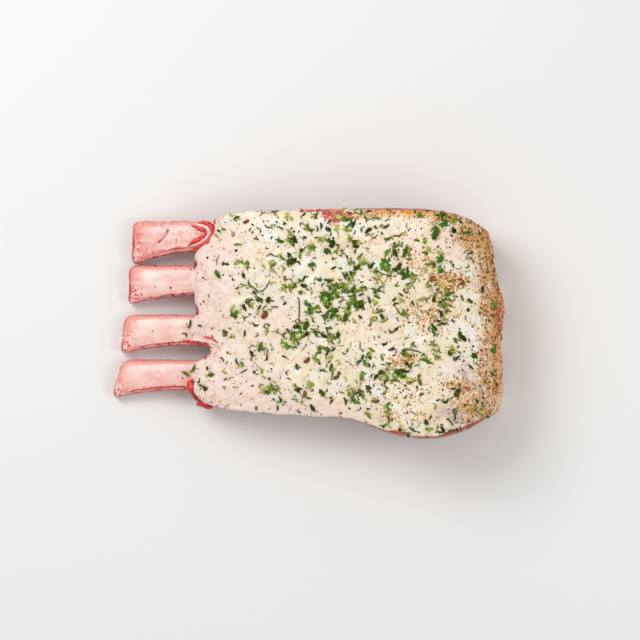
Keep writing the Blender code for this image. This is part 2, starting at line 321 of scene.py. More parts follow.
def fatMaterial(name):
    m = Shader(name)
    c = fatColours
    broad, mid, fine = m.noise(16, 3), m.noise(4.5, 4, 0.6), m.noise(0.9, 4, 0.65)
    colour = m.mix(m.span(broad, 0.4, 0.62), c["cream"], c["warmCream"])
    colour = m.mix(m.span(m.noise(6.5, 4, 0.6, 0.4), 0.5, 0.62), colour, c["white"])
    pinkness = m.add(m.read("pink"), m.spread(mid, 0.9), clamp=True)
    colour = m.mix(pinkness, colour, c["pink"])
    veins = m.span(m.sum("ABSOLUTE", m.spread(m.noise(7, 4, 0.55, 0.6), 1.0)), 0.0, 0.025, 1.0, 0.0)
    colour = m.mix(m.times(m.times(veins, m.read("pink")), 0.45), colour, c["deepPink"])
    bruise = m.times(m.read("bruise"), m.span(mid, 0.36, 0.62))
    colour = m.mix(bruise, colour, c["bruise"])
    # browned streaks: real browning, and on the steep side facing +X partly a painted warm reflection
    streaks = m.noise(1.0, 5, 0.65, 0.4, stretch=(1, 1, 2.2))
    browned = m.span(m.add(m.read("browned"), m.spread(streaks, 1.0)), 0.25, 0.85)
    colour = m.mix(browned, colour, m.mix(m.span(streaks, 0.48, 0.66), c["browned"], c["brownedDark"]))
    kind, chosen = m.speckle(0.75)
    grit = m.ramp(kind, (0.0, c["rubDark"]), (0.28, c["rubOrange"]), (0.45, c["rubTan"]), (0.9, c["rubPale"]))
    rub = m.add(m.read("rub"), m.spread(mid, 0.9))
    shown = m.span(m.sum("SUBTRACT", rub, chosen), -0.12, 0.1, 0.0, 0.85)
    colour = m.mix(shown, colour, grit)
    fibres = m.noise(1.3, 4, 0.6, 0.4, stretch=(3.5, 1, 1))
    ragged = m.add(m.spread(m.noise(2.4, 5, 0.7), 2.4), m.spread(fine, 0.9))
    ragged = m.times(ragged, m.span(m.read("lean"), 0.0, 0.3))
    lean = m.span(m.add(m.read("lean"), ragged), 0.42, 0.62)
    colour = m.mix(lean, colour, m.mix(m.span(fibres, 0.42, 0.62), c["lean"], c["leanPale"]))
    rough = m.span(m.add(mid, m.times(m.read("rub"), 0.4)), 0.3, 0.8, 0.3, 0.6)
    normal = m.bump(m.noise(3.4, 5, 0.6, 0.5), 1.0, 0.7)
    normal = m.bump(fine, 0.3, 0.65, normal)
    normal = m.bump(shown, 0.3, 0.5, normal)
    return m.finish(colour, rough, normal, flesh=0.3, fleshDepth=2.0, wet=0.15, shine=0.45)


fatCapSettings = {
    "grain": 0.72,  # of the mesh
    "swell": 0.12,  # closes the gap to the layer below
    "lumps": 0.55,
    "dimples": 0.34,
    # soft rolls of fat that run down on to the bones: x, y, z, half sizes
    "rolls": [
        (-46.0, 32.0, 14.8, 4.5, 5.5, 5.2),
        (-49.0, 20.0, 14.8, 6.5, 7.4, 4.0),
        (-48.4, 30.2, 14.2, 4.2, 3.6, 4.6),
        (-48.0, 10.5, 14.6, 4.0, 5.0, 5.2),
        (-48.5, -2.6, 14.8, 6.5, 7.2, 4.0),
        (-46.0, -12.5, 15.5, 4.0, 5.5, 5.0),
        (-47.5, -22.5, 15.2, 6.5, 7.2, 4.0),
    ],
    "pinkSpots": [
        (-52, 5, 18, 50, 0.95), (-35, -30, 22, 16, 0.9), (-8, -42, 34, 9, 0.8), (-18, -2, 17, 14, 0.55),
        (-44, 34, 14, 12, 0.85), (10, 10, 10, 8, 0.3), (40, 36, 12, 8, 0.4), (30, -2, 10, 8, 0.35),
        (68, -20, 8, 6, 0.3), (64, 34, 8, 6, 0.5),
    ],
    "rubSpots": [
        (76, 40, 10, 9, 0.95), (83, 18, 5, 28, 0.95), (66, 48, 16, 2.6, 0.8), (64, 19, 9, 4, 0.75),
        (82, -22, 5, 24, 0.75), (44, -30, 10, 7, 0.16), (79, -42, 9, 6, 0.7), (50, 6, 12, 5, 0.3),
        (58, 2, 9, 6, 0.4), (50, 28, 10, 6, 0.32), (44, -42, 12, 4, 0.25), (20, 49, 16, 1.6, 0.6),
        (40, 49, 16, 1.8, 0.8), (26, 34, 10, 6, 0.1), (44, -17, 6, 4, 0.7), (72, -34, 7, 8, 0.65),
        (69, -28, 9, 3, 0.6), (60, 8, 6, 6, 0.4),
    ],
    # clean fat between the seasoning
    "bareSpots": [
        (25, -5, 12, 6, 0.95), (10, 24, 6, 4, 0.9), (44, 46.5, 12, 2.6, 0.9), (50, 37, 6, 5, 0.7),
        (63, 32, 8, 5, 0.8), (74, -1, 8, 4, 0.85), (59, -22, 10, 4, 0.8), (56, -35, 12, 6, 0.6),
        (-44, 4, 8, 6, 0.8), (33, 33, 7, 4, 0.7), (-30, 35, 8, 5, 0.5), (-10, 4, 6, 4, 0.6),
        (30, 41, 6, 3, 0.5), (-28, -38, 14, 5, 0.7), (36, 8, 4, 4, 0.6), (-4, -22, 6, 4, 0.7),
        (-32, -13, 5, 4, 0.6), (6, -41, 16, 4, 0.6),
    ],
    "bruiseSpots": [(72, -26, 8, 6, 0.8), (68, -41, 10, 5, 0.8), (78, -34, 6, 8, 0.7), (70, 42, 7, 4, 0.3)],
    "leanSpots": [
        (11.5, 49, 5, 4, 0.9), (19, 50, 5, 2.4, 0.5), (87.5, 3.5, 2.6, 8, 0.8), (2, 51.2, 7, 1.0, 0.7),
        (38, -50, 8, 1.6, 0.8), (-50, -36, 5, 3, 0.5), (-47.5, -13, 3, 4, 0.6),
    ],
    # browned edges; the strip at x 90 runs down the side facing +X and is partly a painted warm reflection
    "brownAndReflectedSpots": [
        (49, 51.2, 10, 2, 0.9), (84, 41, 4, 5, 0.9), (68, 50.2, 16, 1.8, 0.8), (34, 51.2, 10, 1.6, 0.7),
        (90, 0, 8, 50, 0.72),
    ],
    # the fat stops short of the cut here, and the eye shows: x from and to, how far
    "shortEdge": (58, 84, 1.7),
}


def makeFatCap():
    s = fatCapSettings
    cap = skinOf("fatCap", "fat_cap", s["grain"], s["rolls"])
    relax(cap.data, 3)
    nearBones = 1 - smooth(-52, -44, places(cap.data)[:, 0])
    relax(cap.data, 12, nearBones)
    points, normal = places(cap.data), outward(cap.data)
    facingUp = smooth(-0.2, 0.3, normal[:, 2])
    height = s["swell"] + s["lumps"] * wobble(points, 9, 7) + s["dimples"] * wobble(points, 3.2, 8)
    height += 0.35 * s["lumps"] * wobble(points, 17, 9)
    creases = np.abs(wobble(points, 12, 10))
    height -= 0.6 * np.exp(-(creases / 0.05) ** 2) * (0.5 + nearBones)
    points += normal * (height * (0.25 + 0.75 * facingUp))[:, None]
    start, stop, short = s["shortEdge"]
    edge = smooth(start, start + 8, points[:, 0]) * (1 - smooth(stop - 5, stop, points[:, 0]))
    points[:, 1] += short * edge * (1 - smooth(-46, -38, points[:, 1])) * (1 + 0.3 * wobble(points, 5, 18))
    points += sway(points)
    setPlaces(cap.data, points)
    normal = outward(cap.data)
    steep = smooth(0.45, 0.85, normal[:, 0]) * smooth(60, 80, points[:, 0])
    # the steep side facing +X painted orange-brown: partly browning, partly a painted warm reflection
    toastedAndReflected = steep * (0.6 + 0.4 * wobble(points, 8, 19) + 0.25 * wobble(points, 3, 20))
    bare = 1 - 0.8 * patches(points, s["bareSpots"], 1.0)
    rub = patches(points, s["rubSpots"], 1.1) * (1 - 0.65 * steep) * bare
    band = smooth(24, 30, points[:, 2]) * (1 - smooth(36, 42, points[:, 2]))
    leanOnSide = 1 - smooth(80, 84, points[:, 0]) * (1 - band)
    paint(
        cap.data,
        pink=0.15 + patches(points, s["pinkSpots"], 1.2),
        rub=rub * smooth(6, 20, points[:, 2]),
        bruise=patches(points, s["bruiseSpots"], 1.2),
        lean=patches(points, s["leanSpots"], 0.9) * leanOnSide,
        browned=np.maximum(patches(points, s["brownAndReflectedSpots"], 1.1), toastedAndReflected),
    )
    return finishPiece(cap, fatMaterial("lambFat"), "fat", "fat_cap")


fatCap = makeFatCap()
print("fat cap", len(fatCap.data.polygons))


leanColours = {
    "red": linear(168, 44, 38),
    "deep": linear(128, 26, 26),
    "light": linear(204, 84, 68),
    "marbling": linear(236, 196, 172),
    "membrane": linear(222, 170, 158),
}


def leanMaterial(name, along, marbling, film):  # along: which way the fibres run
    m = Shader(name)
    grain = 0.9
    fibres = m.noise(grain, 4, 0.6, 0.3, stretch=along)
    broad = m.noise(8, 3, 0.5)
    colour = m.mix(m.span(fibres, 0.36, 0.66), leanColours["deep"], leanColours["red"])
    lighter = m.span(m.add(fibres, m.times(broad, 0.5)), 0.72, 0.95)
    colour = m.mix(lighter, colour, leanColours["light"])
    strands = m.sum("ABSOLUTE", m.sum("SUBTRACT", m.noise(5.5, 4, 0.6, 0.8), 0.5))
    flecks = m.times(m.span(strands, 0.0, 0.02, 1.0, 0.0), m.span(m.noise(9, 2), 0.5, 0.62))
    colour = m.mix(m.times(flecks, marbling * 6, clamp=True), colour, leanColours["marbling"])
    if film:
        filmMask = m.times(m.read("film"), m.span(m.noise(6, 4, 0.6), 0.3, 0.6, 0.45, 1.0))
        colour = m.mix(m.times(filmMask, film), colour, leanColours["membrane"])
    bundles = m.cells(grain * 2.2, along)
    normal = m.bump(bundles, 0.35, 0.55)
    normal = m.bump(fibres, 0.3, 0.6, normal)
    rough = m.span(broad, 0.3, 0.7, 0.26, 0.46)
    return m.finish(colour, rough, normal, flesh=0.2, fleshDepth=1.4, wet=0.25, shine=0.5)


leanSettings = {
    "loin_eye": {
        "piece": "loinEye", "grain": 0.85, "swell": 0.22, "lumps": 0.3, "fibres": (1, 5, 1),
        "marbling": 0.12, "film": 0, "rimSoftness": 0.3,
    },
    "cap_muscle": {
        "piece": "capMuscle", "grain": 0.8, "swell": 0.18, "lumps": 0.2, "fibres": (4, 1, 1),
        "marbling": 0.08, "film": 0, "rimSoftness": 0.3,
    },
    "rib_meat": {
        "piece": "ribMeat", "grain": 0.95, "swell": 0.1, "lumps": 0.35, "fibres": (1, 1, 3.5),
        "marbling": 0.14, "film": 0.85, "rimSoftness": 1,
    },
}


def makeLean(nodeName):
    s = leanSettings[nodeName]
    piece = skinOf(s["piece"], nodeName, s["grain"])
    relax(piece.data, 2)
    points = places(piece.data)
    rim = np.maximum(smooth(78, 83, points[:, 0]), smooth(42, 46, np.abs(points[:, 1])))
    relax(piece.data, 9, s["rimSoftness"] * rim)
    points, normal = places(piece.data), outward(piece.data)
    height = s["swell"] + s["lumps"] * (wobble(points, 6, 11) + 0.35 * wobble(points, 2.2, 12))
    onFloor = smooth(0.0, 2.5, points[:, 2])
    points += normal * (height * onFloor)[:, None]
    points += sway(points)
    points[:, 2] = np.maximum(points[:, 2], floorGap)
    setPlaces(piece.data, points)
    paint(piece.data, film=smooth(0.3, 0.8, -normal[:, 2]))
    made = leanMaterial(s["piece"] + "Flesh", s["fibres"], s["marbling"], s["film"])
    return finishPiece(piece, made, "lean", nodeName)


loinEye, capMuscle, ribMeat = (makeLean(n) for n in leanSettings)
print("lean", len(loinEye.data.polygons), len(capMuscle.data.polygons), len(ribMeat.data.polygons))


seamSettings = {"grain": 0.95, "swell": 0.2, "lumps": 0.25, "pink": 0.35}


def makeSeamFat():
    s = seamSettings
    piece = skinOf("seamFat", "seam_fat", s["grain"])
    relax(piece.data, 2)
    points, normal = places(piece.data), outward(piece.data)
    points += normal * (s["swell"] + s["lumps"] * wobble(points, 4, 13))[:, None]
    points += sway(points)
    setPlaces(piece.data, points)
    bare = np.zeros(len(points))
    paint(piece.data, pink=bare + s["pink"], rub=bare, bruise=bare, lean=bare, browned=bare)
    return finishPiece(piece, fatMaterial("innerFat"), "fat", "seam_fat")


makeSeamFat()
print("seam fat")


boneColours = {
    "pale": linear(255, 226, 214),
    "rosy": linear(251, 203, 192),
    "blush": linear(248, 144, 134),
    "red": linear(228, 50, 46),
    "deep": linear(166, 18, 22),
    "marrow": linear(186, 66, 54),
    "gristle": linear(244, 222, 196),
    "film": linear(255, 224, 216),
    "under": linear(206, 92, 84),
}


def boneMaterial():
    m = Shader("ribBone")
    c = boneColours
    broad, mid, fine = m.noise(9, 3), m.noise(2.6, 4, 0.6), m.noise(0.7, 4, 0.65)
    streaks = m.noise(2.2, 4, 0.6, 0.3, stretch=(4, 1, 1))
    tone = m.add(m.times(broad, 0.6), m.times(streaks, 0.4))
    colour = m.mix(m.span(tone, 0.42, 0.62), c["pale"], c["rosy"])
    blush = m.add(m.read("blush"), m.times(m.spread(mid, 1.3), m.read("blush")), clamp=True)
    colour = m.mix(m.times(blush, 0.75), colour, c["blush"])
    veins = m.span(m.sum("ABSOLUTE", m.spread(m.noise(4.2, 5, 0.65, 1.2), 1.0)), 0.0, 0.022, 1.0, 0.0)
    colour = m.mix(m.times(veins, m.read("mottle")), colour, c["red"])
    blotch = m.span(m.add(m.read("tip"), m.spread(m.noise(2.0, 5, 0.7), 2.6)), 0.75, 1.15)
    colour = m.mix(m.times(blotch, 0.45), colour, c["red"])
    kind, chosen = m.speckle(1.0)
    sponge = m.ramp(kind, (0.0, c["deep"]), (0.16, c["red"]), (0.4, c["film"]), (0.8, c["pale"]))
    spongy = m.span(m.sum("SUBTRACT", m.read("sponge"), chosen), -0.1, 0.1, 0.0, 0.8)
    colour = m.mix(spongy, colour, sponge)
    rim = m.span(m.add(m.read("rim"), m.spread(mid, 1.0)), 0.4, 0.75)
    red = m.mix(m.span(fine, 0.42, 0.6), c["red"], c["deep"])
    under = m.mix(m.span(m.noise(3.2, 5, 0.7), 0.44, 0.6), c["under"], c["film"])
    under = m.mix(m.span(fine, 0.5, 0.7), under, c["deep"])
    colour = m.mix(rim, colour, m.mix(m.read("below"), red, under))
    lip = m.mix(m.span(mid, 0.45, 0.6), c["film"], c["blush"])
    colour = m.mix(m.times(m.read("lip"), 0.9), colour, lip)
    colour = m.mix(m.span(m.add(m.read("groove"), m.spread(fine, 0.7)), 0.3, 0.6), colour, red)
    pores = m.span(m.cells(0.8), 0.1, 0.42, 0.0, 1.0)
    colour = m.mix(m.read("sawn"), colour, m.mix(pores, c["marrow"], c["gristle"]))
    colour = m.mix(m.read("scar"), colour, c["deep"])
    normal = m.bump(mid, 0.35, 0.5)
    grit = m.times(fine, m.add(m.read("tip"), 0.35))
    normal = m.bump(grit, 0.3, 0.7, normal)
    rough = m.span(mid, 0.3, 0.7, 0.24, 0.46)
    return m.finish(colour, rough, normal, flesh=0.22, fleshDepth=1.5, wet=0.25, shine=0.5)


ribSettings = {
    "grain": 0.52,
    # tipRed: how far the red runs in; reach: how far the end stands out; hook: how far its lower corner turns
    # down; fringe: how far the torn edge spreads over the bone; rosy: pinkness all over
    "rib_1": {"tipRed": 12, "mottle": 0.8, "reach": 1.5, "hook": 2.0, "fringe": 1.45, "rosy": 0.08},
    "rib_2": {"tipRed": 7, "mottle": 0.06, "reach": 1.4, "hook": 1.6, "fringe": 0.8, "rosy": 0.08},
    "rib_3": {"tipRed": 9, "mottle": 0.06, "reach": 1.25, "hook": 1.4, "fringe": 1.0, "rosy": 0.1},
    "rib_4": {"tipRed": 10, "mottle": 0.1, "reach": 0.2, "hook": 1.2, "fringe": 1.2, "rosy": 0.3},
    "scarred": "rib_1",
    "scar": (-69, 37.3, -64.9, 42.8),  # a dark slit from x, y to x, y
}


def makeRib(nodeName, material):
    s = ribSettings[nodeName]
    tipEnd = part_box(nodeName)[0][0] * 1000
    rib = skinOf(nodeName.replace("rib_", "ribBone"), nodeName, ribSettings["grain"])
    relax(rib.data, 2)
    points, normal = places(rib.data), outward(rib.data)
    along = np.arange(tipEnd + 0.5, -38, 1.0)
    near = [np.abs(points[:, 0] - x) < 0.9 for x in along]
    lowEdge = np.interp(points[:, 0], along, [points[n, 1].min() for n in near])
    highEdge = np.interp(points[:, 0], along, [points[n, 1].max() for n in near])
    fromTip = points[:, 0] - tipEnd
    tip = 1 - smooth(2, s["tipRed"], fromTip)
    bare = 1 - smooth(-50, -46, points[:, 0])
    upward = normal[:, 2]
    height = 0.22 * wobble(points, 5, 14) + 0.08 * wobble(points, 1.8, 15)
    height += tip * (0.28 * wobble(points, 2.4, 16) - 0.05)
    height += 0.35 * s["mottle"] * wobble(points, 3.1, 17) * (1 - smooth(20, 38, fromTip))
    torn = smooth(4, 10, fromTip) * bare * smooth(-0.35, 0.1, upward)
    ruffle = points[:, 1] - lowEdge + 0.35 * wobble(points, 1.7, 31) + 0.4 * wobble(points, 5, 32)
    rows = ((0.25, 0.35), (1.05, 0.3), (1.75, 0.42))  # how far in each fold lies, and how wide it is
    outer, groove, lip = (np.exp(-((ruffle / s["fringe"] - at) / wide) ** 2) for at, wide in rows)
    height += torn * (0.45 * outer - 0.4 * groove + 0.35 * lip + 0.25 * outer * wobble(points, 1.3, 33))
    lift = smooth(0.3, 2.0, points[:, 2])
    points += normal * (height * lift)[:, None]
    middle, half = (highEdge + lowEdge) / 2, (highEdge - lowEdge) / 2
    side = (points[:, 1] - middle) / half
    flare = (1 - smooth(0, 9, fromTip)) ** 1.4
    points[:, 0] -= s["reach"] * flare * (0.8 + 0.2 * np.abs(side))
    points[:, 1] += flare * (0.5 * np.maximum(side, 0) - s["hook"] * np.maximum(-side, 0))
    scar = np.zeros(len(points))
    if nodeName == ribSettings["scarred"]:
        ax, ay, bx, by = ribSettings["scar"]
        alongScar = (points[:, 0] - ax) * (bx - ax) + (points[:, 1] - ay) * (by - ay)
        t = np.clip(alongScar / ((bx - ax) ** 2 + (by - ay) ** 2), 0, 1)
        bend = 0.8 * np.sin(t * 3)
        far = np.hypot(points[:, 0] - ax - t * (bx - ax) - bend, points[:, 1] - ay - t * (by - ay))
        scar = np.exp(-(far / 0.6) ** 2) * smooth(0.3, 0.7, upward)
        points[:, 2] -= 0.7 * scar
    points[:, 2] = np.maximum(points[:, 2], floorGap)
    setPlaces(rib.data, points)
    rosy = s["rosy"] * (1 + 0.6 * wobble(points, 6, 35)) + 0.75 * (1 - smooth(0.5, s["tipRed"], fromTip))
    edge = np.maximum(1 - smooth(0.2, 0.62, upward), 1 - smooth(0.4, 2.2, fromTip))
    shown = smooth(0.0, 0.3, upward)
    paint(
        rib.data,
        tip=np.clip(tip * 0.75 + 0.1 * s["mottle"] * (1 - smooth(25, 40, fromTip)), 0, 1),
        mottle=s["mottle"] * (1 - smooth(26, 40, fromTip)),
        sponge=0.8 * (1 - smooth(2, 7, fromTip)) * smooth(0.35, -0.5, side) * smooth(0.2, 0.6, upward),
        blush=(1 - smooth(0.7, 0.99, upward)) * bare + rosy,
        rim=np.clip(edge, 0, 1) * 0.85,
        below=0.85 * (1 - smooth(-0.1, 0.35, upward)),
        groove=torn * shown * (groove + 0.8 * outer) * (0.7 + 0.5 * wobble(points, 6, 34)),
        lip=torn * shown * lip * 0.9,
        sawn=smooth(0.75, 0.95, normal[:, 0]) * smooth(70, 75, points[:, 0]),
        scar=scar,
    )
    return finishPiece(rib, material, "bone", nodeName)


boneFinish = boneMaterial()
ribs = [makeRib(f"rib_{n}", boneFinish) for n in (1, 2, 3, 4)]
print("ribs", [len(r.data.polygons) for r in ribs])


def flake(pick, width, points, jag, curl, bend, thickness=0.06):  # a closed leaf scrap, about 1 long
    rim = []
    for k in range(points):
        turn = math.tau * (k + pick.uniform(-0.25, 0.25)) / points
        reach = 0.5 * (1 - jag * pick.random() * (1 if k % 2 else 0.2))
        x, y = reach * math.cos(turn), reach * math.sin(turn) * width
        lift = curl * (2.4 * x * x + 1.6 * (y / width) ** 2) + pick.uniform(-0.04, 0.04)
        rim.append(Vector((x, y + bend * (4 * x * x - 0.4) * 0.25, lift)))
    bm = bmesh.new()
    # edge: 0 at the centre, up to 1 on the rim; lights rims as painted highlight, shades centres
    edge = bm.verts.layers.float.new("edge")
    top = [bm.verts.new(p + Vector((0, 0, thickness))) for p in rim]
    bottom = [bm.verts.new(p) for p in rim]
    middle = Vector((0, -0.1 * bend, 0))
    for ring, z in ((top, thickness), (bottom[::-1], 0.0)):
        centre = bm.verts.new(middle + Vector((0, 0, z)))
        for k in range(points):
            bm.faces.new((centre, ring[k], ring[(k + 1) % points]))
    for k in range(points):
        following = (k + 1) % points
        bm.faces.new((top[k], bottom[k], bottom[following], top[following]))
    for vert in (*top, *bottom):
        vert[edge] = pick.uniform(0.2, 1)
    return bm


def crumb(pick, roughness):  # a closed grain, about 1 across
    bm = bmesh.new()
    bmesh.ops.create_icosphere(bm, subdivisions=1, radius=0.5)
    stretch = Vector((pick.uniform(0.8, 1.3), pick.uniform(0.7, 1.1), pick.uniform(0.5, 0.9)))
    for vert in bm.verts:
        vert.co = Vector(a * b for a, b in zip(vert.co, stretch)) * pick.uniform(1 - roughness, 1 + roughness)
    return bm


def strand(bm, path, radius, seed, sides=6, wide=1.0, lumps=0.35):  # a lumpy closed strand along points
    loops, last = [], len(path) - 1
    for k, centre in enumerate(path):
        run = (path[min(k + 1, last)] - path[max(k - 1, 0)]).normalized()
        across = run.cross(Vector((0, 0, 1))).normalized()
        rise = across.cross(run)
        taper = max(0.25, 1 - abs(2 * k / last - 1) ** 5)
        loops.append([])
        for n in range(sides):
            turn = math.tau * n / sides
            size = radius * taper * (1 + lumps * noise.noise(Vector((k * 0.8, n * 0.9, seed * 7.3))))
            offset = across * size * wide * math.cos(turn) + rise * size * math.sin(turn)
            loops[-1].append(bm.verts.new(centre + offset))
    for first, second in zip(loops, loops[1:]):
        for n in range(sides):
            bm.faces.new((first[n], second[n], second[(n + 1) % sides], first[(n + 1) % sides]))
    bm.faces.new(loops[0])
    bm.faces.new(loops[-1][::-1])
    return bm


def stalk(pick, bend, thickness):  # a closed thin stem, about 1 long
    path = []
    for k in range(6):
        x = k / 5 - 0.5
        path.append(Vector((x, bend * 4 * x * x, 0.06 * math.sin(5 * x + pick.uniform(0, 0.4)))))
    return strand(bmesh.new(), path, thickness, bend, 4, lumps=0.2)


def closedMesh(name, bm, scale=1.0):
    bmesh.ops.recalc_face_normals(bm, faces=bm.faces)
    bmesh.ops.scale(bm, vec=Vector((scale, scale, scale)), verts=bm.verts)
    mesh = bpy.data.meshes.new(name)
    bm.to_mesh(mesh)
    bm.free()
    return mesh


def shapeSet(name, makers):  # shapes for a scatter to pick from, kept out of the scene
    group = bpy.data.collections.new(name)
    for number, bm in enumerate(makers):
        group.objects.link(bpy.data.objects.new(f"{name}{number}", closedMesh(f"{name}{number}", bm)))
    return group


def gathered(*objects):  # the points and the faces of several pieces together
    points, faces, count = [], [], 0
    for obj in objects:
        corners = np.empty(len(obj.data.loops), np.int32)
        obj.data.loops.foreach_get("vertex_index", corners)
        points.append(places(obj.data))
        faces.append(corners.reshape(-1, 4) + count)
        count += len(obj.data.vertices)
    return np.concatenate(points), np.concatenate(faces)


top = BVHTree.FromPolygons(*(part.tolist() for part in gathered(fatCap, ribMeat, *ribs)))


def onTop(x, y, lift=0.0):
    hit = top.ray_cast(Vector((x, y, 90)), Vector((0, 0, -1)))[0]
    return Vector((x, y, (hit.z if hit else 8.0) + lift))


def threaded(corners, step=0.8):  # points along a smooth line through corners, on the meat
    corners = [Vector((x, y, 0)) for x, y in corners]
    line = []
    for a, b, c, d in zip([corners[0]] + corners, corners, corners[1:], corners[2:] + [corners[-1]]):
        count = max(2, int((c - b).length / step))
        for k in range(count):
            t = k / count
            square, cube = 2 * a - 5 * b + 4 * c - d, 3 * b - a - 3 * c + d
            line.append(0.5 * (2 * b + (c - a) * t + square * t ** 2 + cube * t ** 3))
    return line + [corners[-1]]


def scatterTree():  # scatters shapes over a surface, by a painted mask
    tree = bpy.data.node_groups.new("seasoning", "GeometryNodeTree")
    tree.interface.new_socket("Geometry", in_out="OUTPUT", socket_type="NodeSocketGeometry")
    inputs = {"Geometry": "Geometry", "Shapes": "Collection", "Mask": "String"}
    inputs |= dict.fromkeys("Density Spacing Smallest Largest Crowding Tilt Lift".split(), "Float")
    inputs |= {"Seed": "Int", "Finish": "Material"}
    for name, kind in inputs.items():
        tree.interface.new_socket(name, in_out="INPUT", socket_type="NodeSocket" + kind)

    def node(kind, **settings):
        return addNode(tree, kind, settings)

    def join(source, target):
        tree.links.new(source, target)

    given = node("NodeGroupInput").outputs
    mask = node("GeometryNodeInputNamedAttribute", data_type="FLOAT")
    join(given["Mask"], mask.inputs["Name"])
    spread = node("GeometryNodeDistributePointsOnFaces", distribute_method="POISSON")
    join(given["Geometry"], spread.inputs["Mesh"])
    join(given["Spacing"], spread.inputs["Distance Min"])
    join(given["Density"], spread.inputs["Density Max"])
    join(mask.outputs["Attribute"], spread.inputs["Density Factor"])
    join(given["Seed"], spread.inputs["Seed"])

    def chance(kind, low, high, seedOffset):
        made = node("FunctionNodeRandomValue", data_type=kind)
        active = [i for i in made.inputs if i.enabled and i.name in ("Min", "Max")]
        active[0].default_value, active[1].default_value = low, high
        seed = node("ShaderNodeMath", operation="ADD")
        join(given["Seed"], seed.inputs[0])
        seed.inputs[1].default_value = seedOffset
        join(seed.outputs[0], made.inputs["Seed"])
        return [o for o in made.outputs if o.enabled][0]

    lean = node("ShaderNodeCombineXYZ")
    join(chance("FLOAT", -1.0, 1.0, 11), lean.inputs[0])
    join(chance("FLOAT", -1.0, 1.0, 12), lean.inputs[1])
    tilt = node("ShaderNodeVectorMath", operation="SCALE")
    join(lean.outputs[0], tilt.inputs[0])
    join(given["Tilt"], tilt.inputs["Scale"])
    spin = node("ShaderNodeCombineXYZ")
    join(chance("FLOAT", 0.0, math.tau, 13), spin.inputs[2])
    turn = node("ShaderNodeVectorMath", operation="ADD")
    join(tilt.outputs[0], turn.inputs[0])
    join(spin.outputs[0], turn.inputs[1])
    asRotation = node("FunctionNodeEulerToRotation")
    join(turn.outputs[0], asRotation.inputs[0])
    rotate = node("FunctionNodeRotateRotation", rotation_space="LOCAL")
    join(spread.outputs["Rotation"], rotate.inputs["Rotation"])
    join(asRotation.outputs[0], rotate.inputs["Rotate By"])

    skew = node("ShaderNodeMath", operation="POWER")  # more small pieces than large ones
    join(chance("FLOAT", 0.0, 1.0, 14), skew.inputs[0])
    join(given["Crowding"], skew.inputs[1])
    size = node("ShaderNodeMapRange")
    join(skew.outputs[0], size.inputs["Value"])
    join(given["Smallest"], size.inputs["To Min"])
    join(given["Largest"], size.inputs["To Max"])

    info = node("GeometryNodeCollectionInfo")
    info.inputs["Separate Children"].default_value = True
    info.inputs["Reset Children"].default_value = True
    join(given["Shapes"], info.inputs["Collection"])
    place = node("GeometryNodeInstanceOnPoints")
    join(spread.outputs["Points"], place.inputs["Points"])
    join(info.outputs[0], place.inputs["Instance"])
    place.inputs["Pick Instance"].default_value = True
    join(chance("INT", 0, 100, 15), place.inputs["Instance Index"])
    join(rotate.outputs[0], place.inputs["Rotation"])
    join(size.outputs[0], place.inputs["Scale"])
    rise = node("ShaderNodeCombineXYZ")
    join(given["Lift"], rise.inputs[2])
    move = node("GeometryNodeTranslateInstances")
    join(place.outputs[0], move.inputs["Instances"])
    join(rise.outputs[0], move.inputs["Translation"])
    tint = node("GeometryNodeStoreNamedAttribute", data_type="FLOAT", domain="INSTANCE")
    tint.inputs["Name"].default_value = "tint"
    join(move.outputs[0], tint.inputs["Geometry"])
    join(chance("FLOAT", 0.0, 1.0, 16), tint.inputs["Value"])
    real = node("GeometryNodeRealizeInstances")
    join(tint.outputs[0], real.inputs[0])
    finish = node("GeometryNodeSetMaterial")
    join(real.outputs[0], finish.inputs["Geometry"])
    join(given["Finish"], finish.inputs["Material"])
    join(finish.outputs[0], node("NodeGroupOutput").inputs[0])
    return tree



def seasonedTop():  # the fat and the tops of the bones as one surface
    seasoned = (fatCap, *ribs)
    points, faces = gathered(*seasoned)
    upward = np.concatenate([outward(obj.data)[:, 2] for obj in seasoned])
    facing = upward[faces].mean(1)
    onBone = np.arange(len(points)) >= len(fatCap.data.vertices)
    shown = (facing > 0.05) & ~(onBone[faces[:, 0]] & (points[faces[:, 0], 0] > -52))
    mesh = bpy.data.meshes.new("seasonedTop")
    mesh.from_pydata(points * mm, [], faces[shown])
    return linkMesh("seasonedTop", mesh), points, upward, onBone


